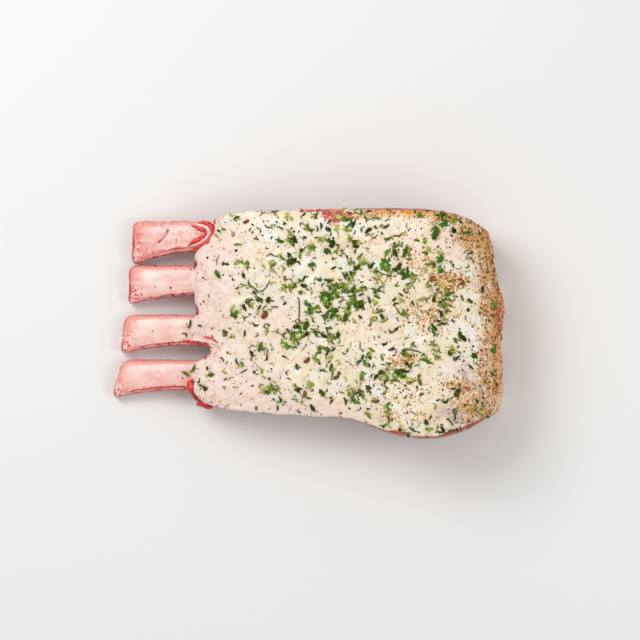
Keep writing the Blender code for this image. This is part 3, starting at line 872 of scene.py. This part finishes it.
herbSettings = {
    # clumps of chopped leaf: x, y, half sizes, strength
    "clumps": [
        (22, 11, 7, 6, 1.0), (30, 15, 6, 4, 0.8), (-2, -2, 5, 4, 1.0), (-9, -7, 4, 4, 0.9),
        (8, -7, 4, 7, 1.0), (6, -15, 4, 4, 0.7), (36, -24, 5, 4, 1.0), (44, -22.5, 4, 5, 1.0),
        (21, -33.5, 6, 3, 0.8), (-17, -31, 4, 5, 0.9), (0, -32, 2, 4, 0.9), (14, -23, 3, 4, 0.9),
        (25, -19, 3, 6, 0.8), (0, 36, 5, 5, 0.9), (6, 42, 4, 3, 0.7), (16, 33, 5, 3, 0.8),
        (25, 27, 6, 4, 0.7), (-6, 16.5, 6, 3, 0.8), (-12, 28, 7, 4, 0.7), (-24, 13, 4, 3, 0.7),
        (-27, 9, 3, 3, 0.7), (-30, 24, 4, 5, 0.6), (-26, 42, 4, 3, 0.5), (41, 32, 5, 5, 0.8),
        (57, 28, 4, 6, 0.8), (43, 21, 8, 3, 1.0), (67, 13, 4, 3, 0.9), (61.5, 7, 3, 4, 0.9),
        (62, 1.5, 5, 3, 0.8), (66, -7.5, 3, 4, 0.8), (57, -14, 3, 6, 0.7), (51, -16, 3, 3, 0.8),
        (45, -48, 7, 2.5, 0.8), (-48, -25, 4, 6, 1.2), (-42, -5, 3, 5, 0.6), (-37, -18, 3, 4, 0.6),
        (-55, -21, 5, 4, 0.7), (-52, -2, 5, 4, 0.5), (40, 6, 6, 5, 0.5), (12, 14, 6, 5, 0.9),
        (5, 8, 5, 4, 0.9), (16, 3, 6, 4, 0.9), (33, 6, 4, 5, 0.8), (20, 21, 6, 4, 0.8), (11, 40, 4, 3, 0.7),
        (30, 42, 5, 3, 0.6), (34, 23, 5, 4, 0.8), (27, 3, 4, 4, 0.7), (-2, 8, 4, 4, 0.6),
    ],
    "scatter": 0.22,  # between the clumps
    "ceiling": 50.3,
    "onBones": [(-58, -22, 9, 6, 0.8), (-60, -2, 10, 6, 0.4), (-56, 18, 4, 5, 0.15)],
    # colours of fresh and of dried leaf, from the least to the greatest tint
    "green": [
        (0.0, linear(44, 50, 0)), (0.22, linear(70, 92, 4)), (0.42, linear(62, 122, 20)),
        (0.6, linear(104, 146, 36)), (0.8, linear(162, 174, 66)), (1.0, linear(218, 212, 126)),
    ],
    "dried": [
        (0.0, linear(46, 26, 2)), (0.3, linear(98, 72, 10)), (0.55, linear(132, 120, 26)),
        (0.8, linear(176, 158, 60)), (1.0, linear(216, 196, 108)),
    ],
    # whole leaves: x, y, length, width, turn, lift
    "bigLeaves": [
        (57.7, 41.0, 7.4, 3.2, 78, 0.3), (-41.5, 22.5, 5.0, 2.2, -58, 0.3), (60, 29, 5.0, 2.6, 60, 0.3),
        (23, 9, 5.4, 3.0, 20, 0.4), (44, 22, 5.4, 2.6, -30, 0.4), (41, -22, 4.6, 3.2, 10, 0.5),
        (-1, -1, 5, 2.6, 70, 0.4),
    ],
    "brownFlakes": [
        (-28.5, 46.5, 3.6, 1.8, 20, 0.3), (-20, 3.8, 4.8, 2.6, 60, 0.4), (-38, -4, 3.2, 1.8, -30, 0.3),
        (-0.5, -17, 4, 2, 40, 0.3), (24, -31, 3.6, 2, -20, 0.3), (13, -24.5, 3.6, 1.8, 30, 0.3),
        (31, -35.5, 3.5, 2, 10, 0.3), (56, 20, 3.4, 1.8, 70, 0.3), (-1.5, -32.5, 3.6, 2, 80, 0.3),
        (70, 18, 3, 1.6, 15, 0.3),
    ],
    # loose stems: thickness, x, y pairs
    "laidStems": [
        (0.22, (-4, 46), (-0.8, 44.6), (1.4, 42.0), (1.8, 40.0)),
        (0.2, (-17.5, 26.2), (-15.6, 24), (-13.8, 22)),
        (0.3, (44, -11.6), (48, -12.4), (52, -13.4)), (0.34, (-4.2, 11.6), (-4.0, 6.5), (-4.1, 1.6)),
        (0.24, (-22, 14), (-19, 16.6), (-17.4, 20)), (0.22, (30, 25), (33.5, 22.6), (38, 21.4)),
        (0.22, (10, 17), (13, 13), (18, 10)), (0.22, (60, 12), (63, 8.6), (67, 7)),
    ],
}


def leafMaterial(name, *stops):
    m = Shader(name)
    patchy = m.add(m.read("tint"), m.spread(m.noise(1.0, 4, 0.7), 1.3))
    # painted highlight on the leaf rims and painted shade at their centres, read from edge
    patchy = m.add(patchy, m.spread(m.read("edge"), 0.3), clamp=True)
    normal = m.bump(m.noise(0.4, 3, 0.6), 0.14, 0.6)
    return m.finish(m.ramp(patchy, *stops), 0.6, normal, shine=0.15)


def crumbMaterial(name, dark, middle, pale, roughness=0.6):
    m = Shader(name)
    colour = m.ramp(m.read("tint"), (0.0, dark), (0.45, middle), (0.95, pale))
    colour = m.mix(m.span(m.noise(0.3, 3, 0.6), 0.45, 0.7, 0.0, 0.4), colour, dark)
    return m.finish(colour, roughness, m.bump(m.noise(0.25, 3, 0.6), 0.08, 0.6), shine=0.35)


def linkPlain(name, mesh, material):
    obj = linkMesh(name, mesh)
    # a piece with no edge of its own gets a soft one, so painted rim highlight and shade stay mild
    for value in ("tint", "edge"):
        if value not in mesh.attributes:
            paint(mesh, **{value: 0.35 + 0.3 * wobble(places(mesh), 12, 41)})
    mesh.materials.append(material)
    mesh.shade_smooth()
    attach(obj, "root")


def season():
    host, points, upward, onBone = seasonedTop()
    s = herbSettings
    up = smooth(0.1, 0.35, upward)
    body = (~onBone).astype(float)
    x, y = points[:, 0], points[:, 1]
    breakUp = smooth(-0.2, 0.3, wobble(points, 3.4, 21))
    clumps = patches(points, s["clumps"], 1.1) * breakUp
    herbZone = smooth(-50, -26, x) * (1 - 0.55 * smooth(62, 84, x))
    herbZone *= 1 - 0.6 * smooth(-33, -43, y) * (x < 25)
    loose = s["scatter"] * herbZone * (0.2 + breakUp) * (0.6 + 0.4 * smooth(-18, 4, x))
    herbs = np.clip(loose + clumps, 0, 1) * up * (1 - 0.3 * smooth(10, -40, y))
    boneShare = np.where(onBone, patches(points, s["onBones"], 1.0), 1.0)
    bare = 1 - patches(points, fatCapSettings["bareSpots"], 0.8)
    rub = patches(points, fatCapSettings["rubSpots"], 1.2) * body * bare
    peppery = np.where(onBone, 0.08, 0.22 + 0.35 * smooth(-45, 30, x) + 0.43 * smooth(35, 75, x))
    side = smooth(0.05, 0.2, upward)
    paint(
        host.data,
        herbs=herbs * boneShare * bare,
        scraps=np.clip(0.26 * herbZone + clumps, 0, 1) * up * boneShare * (0.3 + 0.7 * bare),
        pepper=(0.3 + 0.7 * smooth(-0.2, 0.4, wobble(points, 7, 22))) * up * peppery,
        rub=np.clip(rub * (0.35 + 1.1 * smooth(-0.15, 0.3, wobble(points, 4, 23))), 0, 1) * side,
        dust=(0.08 + 0.92 * rub) * body * side * smooth(-40, 30, x),
        stems=herbZone * up * body * 0.8,
    )
    pick = random.Random(31)
    leaves = shapeSet("leafScrap", [
        flake(pick, pick.uniform(0.4, 0.75), 10, 0.6, pick.uniform(0.15, 0.4), pick.uniform(-0.6, 0.6))
        for _ in range(10)
    ])
    strips = shapeSet("leafStrip", [
        flake(pick, pick.uniform(0.24, 0.42), 10, 0.5, pick.uniform(0.1, 0.28), pick.uniform(-2.0, 2.0))
        for _ in range(9)
    ])
    crumbs = shapeSet("crumb", [crumb(pick, 0.22) for _ in range(6)])
    stems = shapeSet("stem", [stalk(pick, pick.uniform(-0.25, 0.25), 0.03) for _ in range(5)])
    green, dried = leafMaterial("parsley", *s["green"]), leafMaterial("driedHerb", *s["dried"])
    pepper = crumbMaterial("blackPepper", linear(22, 14, 8), linear(44, 30, 16), linear(104, 72, 40), 0.5)
    spice = crumbMaterial("spiceRub", linear(104, 52, 8), linear(228, 144, 44), linear(250, 212, 124), 0.5)
    chaff = crumbMaterial("spiceHusk", linear(58, 28, 4), linear(140, 76, 16), linear(224, 140, 48), 0.6)
    # name: shapes, mask, density per square metre, spacing, smallest, largest, crowding, tilt, lift, seed,
    # finish
    kinds = {
        "parsleyLeaves": (leaves, "herbs", 0.27e6, 1.1, 1.8, 5.0, 1.4, 0.28, 0.15, 1, green),
        "parsleyStrips": (strips, "herbs", 0.26e6, 1.0, 2.0, 5.4, 1.5, 0.24, 0.2, 2, green),
        "driedHerbs": (strips, "scraps", 0.18e6, 1.2, 1.2, 3.8, 1.6, 0.26, 0.2, 3, dried),
        "herbScraps": (leaves, "scraps", 0.12e6, 0.6, 0.5, 1.6, 1.3, 0.35, 0.1, 4, green),
        "pepperSpecks": (crumbs, "pepper", 0.24e6, 0.6, 0.3, 1.15, 2.0, 0.6, 0.08, 5, pepper),
        "spiceGrains": (crumbs, "rub", 0.9e6, 0.5, 0.45, 1.25, 1.6, 0.8, 0.1, 6, spice),
        "spiceHusks": (leaves, "rub", 0.42e6, 0.8, 0.6, 2.0, 1.6, 0.5, 0.15, 7, chaff),
        "spiceDust": (crumbs, "dust", 0.4e6, 0.5, 0.2, 0.5, 1.2, 0.8, 0.06, 8, spice),
        "herbStems": (stems, "stems", 0.0035e6, 5.0, 4.0, 8.0, 1.2, 0.12, 0.25, 9, dried),
    }
    tree = scatterTree()
    for name, row in kinds.items():
        shapes, mask, density, spacing, smallest, largest, crowding, tilt, lift, seed, finish = row
        obj = linkMesh(name, host.data.copy())
        scatter = obj.modifiers.new("scatter", "NODES")
        scatter.node_group = tree
        values = {
            "Shapes": shapes, "Mask": mask, "Density": density, "Spacing": spacing * mm,
            "Smallest": smallest * mm, "Largest": largest * mm, "Crowding": crowding,
            "Tilt": tilt, "Lift": lift * mm, "Seed": seed, "Finish": finish,
        }
        for socket in tree.interface.items_tree:
            if socket.in_out == "INPUT" and socket.name in values:
                scatter[socket.identifier] = values[socket.name]
        settled(obj)
        grown = places(obj.data)
        grown[:, 2] = np.minimum(grown[:, 2], s["ceiling"])
        setPlaces(obj.data, grown)
        obj.data.shade_smooth()
        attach(obj, "root")
        print(name, len(obj.data.polygons))
    bpy.data.objects.remove(host)
    for group in (leaves, strips, crumbs, stems):
        for shape in list(group.objects):
            bpy.data.objects.remove(shape)
        bpy.data.collections.remove(group)
    for name, spots, finish in (("wholeLeaves", "bigLeaves", green), ("brownFlakes", "brownFlakes", chaff)):
        laid = bmesh.new()
        for x, y, length, width, turn, lift in s[spots]:
            shape = closedMesh("leaf", flake(pick, width / length, 14, 0.3, 0.22, 0.5, 0.04))
            turned = Matrix.Rotation(math.radians(turn), 3, "Z").to_quaternion()
            shape.transform(Matrix.LocRotScale(onTop(x, y, lift), turned, Vector((length,) * 3)))
            laid.from_mesh(shape)
            bpy.data.meshes.remove(shape)
        linkPlain(name, closedMesh(name, laid, mm), finish)
    laid = bmesh.new()
    for number, (radius, *corners) in enumerate(s["laidStems"]):
        path = [onTop(p.x, p.y, 0.35) for p in threaded(corners)]
        strand(laid, path, radius, number + 3, 5, lumps=0.2)
    linkPlain("looseStems", closedMesh("looseStems", laid, mm), dried)


season()

shredSettings = {
    "grain": 0.45,
    # folded edges round the first bone's root: which band, thickness, x, y pairs
    "bands": [
        (
            0.0, 1.0, (-51, 46.4), (-47.5, 46.2), (-44.6, 44.6), (-43.6, 42.0), (-44.8, 38.9), (-47.4, 36.2),
            (-50.8, 34.6), (-53.4, 34.2),
        ),
        (
            0.9, 0.9, (-52.0, 45.4), (-49, 44.9), (-46.4, 43.6), (-45.4, 41.6), (-46.6, 39.2), (-49.0, 37.4),
            (-51.8, 36.2),
        ),
        (
            0.05, 0.9, (-54, 45.0), (-50.8, 43.9), (-48.2, 42.8), (-47.2, 41.2), (-48.4, 39.6), (-50.6, 38.4),
            (-53.2, 37.2), (-55.2, 35.6),
        ),
        (0.8, 0.7, (-52.5, 42.6), (-50.4, 41.8), (-49.6, 40.8), (-50.8, 39.8)),
        # a flap under the third bone's root
        (0.1, 0.7, (-58, -8.2), (-54, -8.6), (-50, -9.0), (-46.4, -9.8), (-43.6, -11.6)),
        (0.95, 0.6, (-54, -7.4), (-50, -7.8), (-46.4, -8.4), (-43.2, -9.8)),
        (0.2, 0.5, (-48, -6.4), (-46, -6.6), (-43.4, -7.6), (-41.4, -9.2)),
    ],
    # glossy lean where the fat stops at the fourth bone: x, y, z, half sizes
    "lumps": [
        (-53.4, -30.0, 14.0, 2.5, 2.8, 2.7), (-51.6, -33.0, 13.6, 2.4, 1.9, 2.4),
        (-49.0, -37.2, 13.4, 2.8, 1.6, 2.0),
        (-54.2, -27.8, 14.2, 1.9, 1.8, 1.8), (-45.8, -38.8, 13.4, 2.2, 1.2, 1.6),
    ],
}


def shredMaterial():
    m = Shader("tornEdge")
    c = boneColours
    colour = m.ramp(m.read("band"), (0.0, c["red"]), (0.3, c["red"]), (0.6, c["blush"]), (0.9, c["film"]))
    darker = m.ramp(m.read("band"), (0.0, c["deep"]), (0.5, c["red"]), (0.9, c["blush"]))
    colour = m.mix(m.span(m.noise(1.2, 4, 0.6), 0.5, 0.68, 0.0, 0.7), colour, darker)
    return m.finish(colour, 0.28, m.bump(m.noise(0.8, 3, 0.6), 0.3, 0.6), flesh=0.2, fleshDepth=1.2, wet=0.35)


def makeShreds():
    bm, bands = bmesh.new(), []
    for number, (band, radius, *corners) in enumerate(shredSettings["bands"]):
        before = len(bm.verts)
        path = [onTop(p.x, p.y, 0.1) for p in threaded(corners, 0.7)]
        heights = np.array([p.z for p in path])
        heights = np.maximum(heights, np.median(heights) - 1.2)
        heights = np.convolve(np.pad(heights, 3, "edge"), np.ones(7) / 7, "valid")
        for point, height in zip(path, heights):
            point.z = height
        strand(bm, path, radius, number, 8, 1.15, 0.6)
        bands += [band] * (len(bm.verts) - before)
    mesh = closedMesh("tornEdges", bm, mm)
    shreds = linkMesh("tornEdges", mesh)
    paint(mesh, band=bands)
    torn = shredMaterial()
    finishPiece(shreds, torn, "lean")
    lumps = skinOf("rootLean", None, shredSettings["grain"], shredSettings["lumps"])
    relax(lumps.data, 3)
    points, normal = places(lumps.data), outward(lumps.data)
    setPlaces(lumps.data, points + normal * (0.3 * wobble(points, 2.0, 51))[:, None])
    paint(lumps.data, band=np.full(len(points), 0.12))
    finishPiece(lumps, torn, "lean")


makeShreds()
print("torn edges")

stageSettings = {
    "floor": linear(246, 245, 243),
    "view": 294.4,  # width of the picture at the rack's own height
    "aim": (5.5, 1.4, 20.0),
    "lens": 260.0,
    "softBoxes": [  # place, size, watts
        ((-420, 380, 700), 450, 3.6),
        ((500, -120, 620), 420, 1.2),
    ],
    "sky": 0.5,
}


def makeStage():
    s = stageSettings
    bpy.ops.mesh.primitive_plane_add(size=6)
    floor = bpy.context.object
    floor.name = "floor"
    m = Shader("paleFloor")
    floor.data.materials.append(m.finish(s["floor"], 0.9, shine=0.1))
    world = bpy.data.worlds.new("studio")
    world.use_nodes = True
    sky = world.node_tree.nodes["Background"].inputs
    sky["Color"].default_value = (1, 1, 1, 1)
    sky["Strength"].default_value = s["sky"]
    bpy.context.scene.world = world
    aim = Vector(s["aim"]) * mm
    for number, (place, size, watts) in enumerate(s["softBoxes"]):
        light = bpy.data.lights.new(f"softBox{number}", "AREA")
        light.size = size * mm
        light.energy = watts
        lamp = bpy.data.objects.new(f"softBox{number}", light)
        lamp.location = Vector(place) * mm
        lamp.rotation_euler = (aim - lamp.location).to_track_quat("-Z", "Y").to_euler()
        bpy.context.scene.collection.objects.link(lamp)
    camera = bpy.data.objects.new("camera", bpy.data.cameras.new("camera"))
    bpy.context.scene.collection.objects.link(camera)
    camera.data.lens = s["lens"]
    camera.data.sensor_width = 36
    camera.location = aim + Vector((0, 0, s["view"] * mm * s["lens"] / 36))
    camera.rotation_euler = (0, 0, 0)
    bpy.context.scene.camera = camera
    bpy.context.scene.view_settings.view_transform = "Standard"


makeStage()
print("stage")
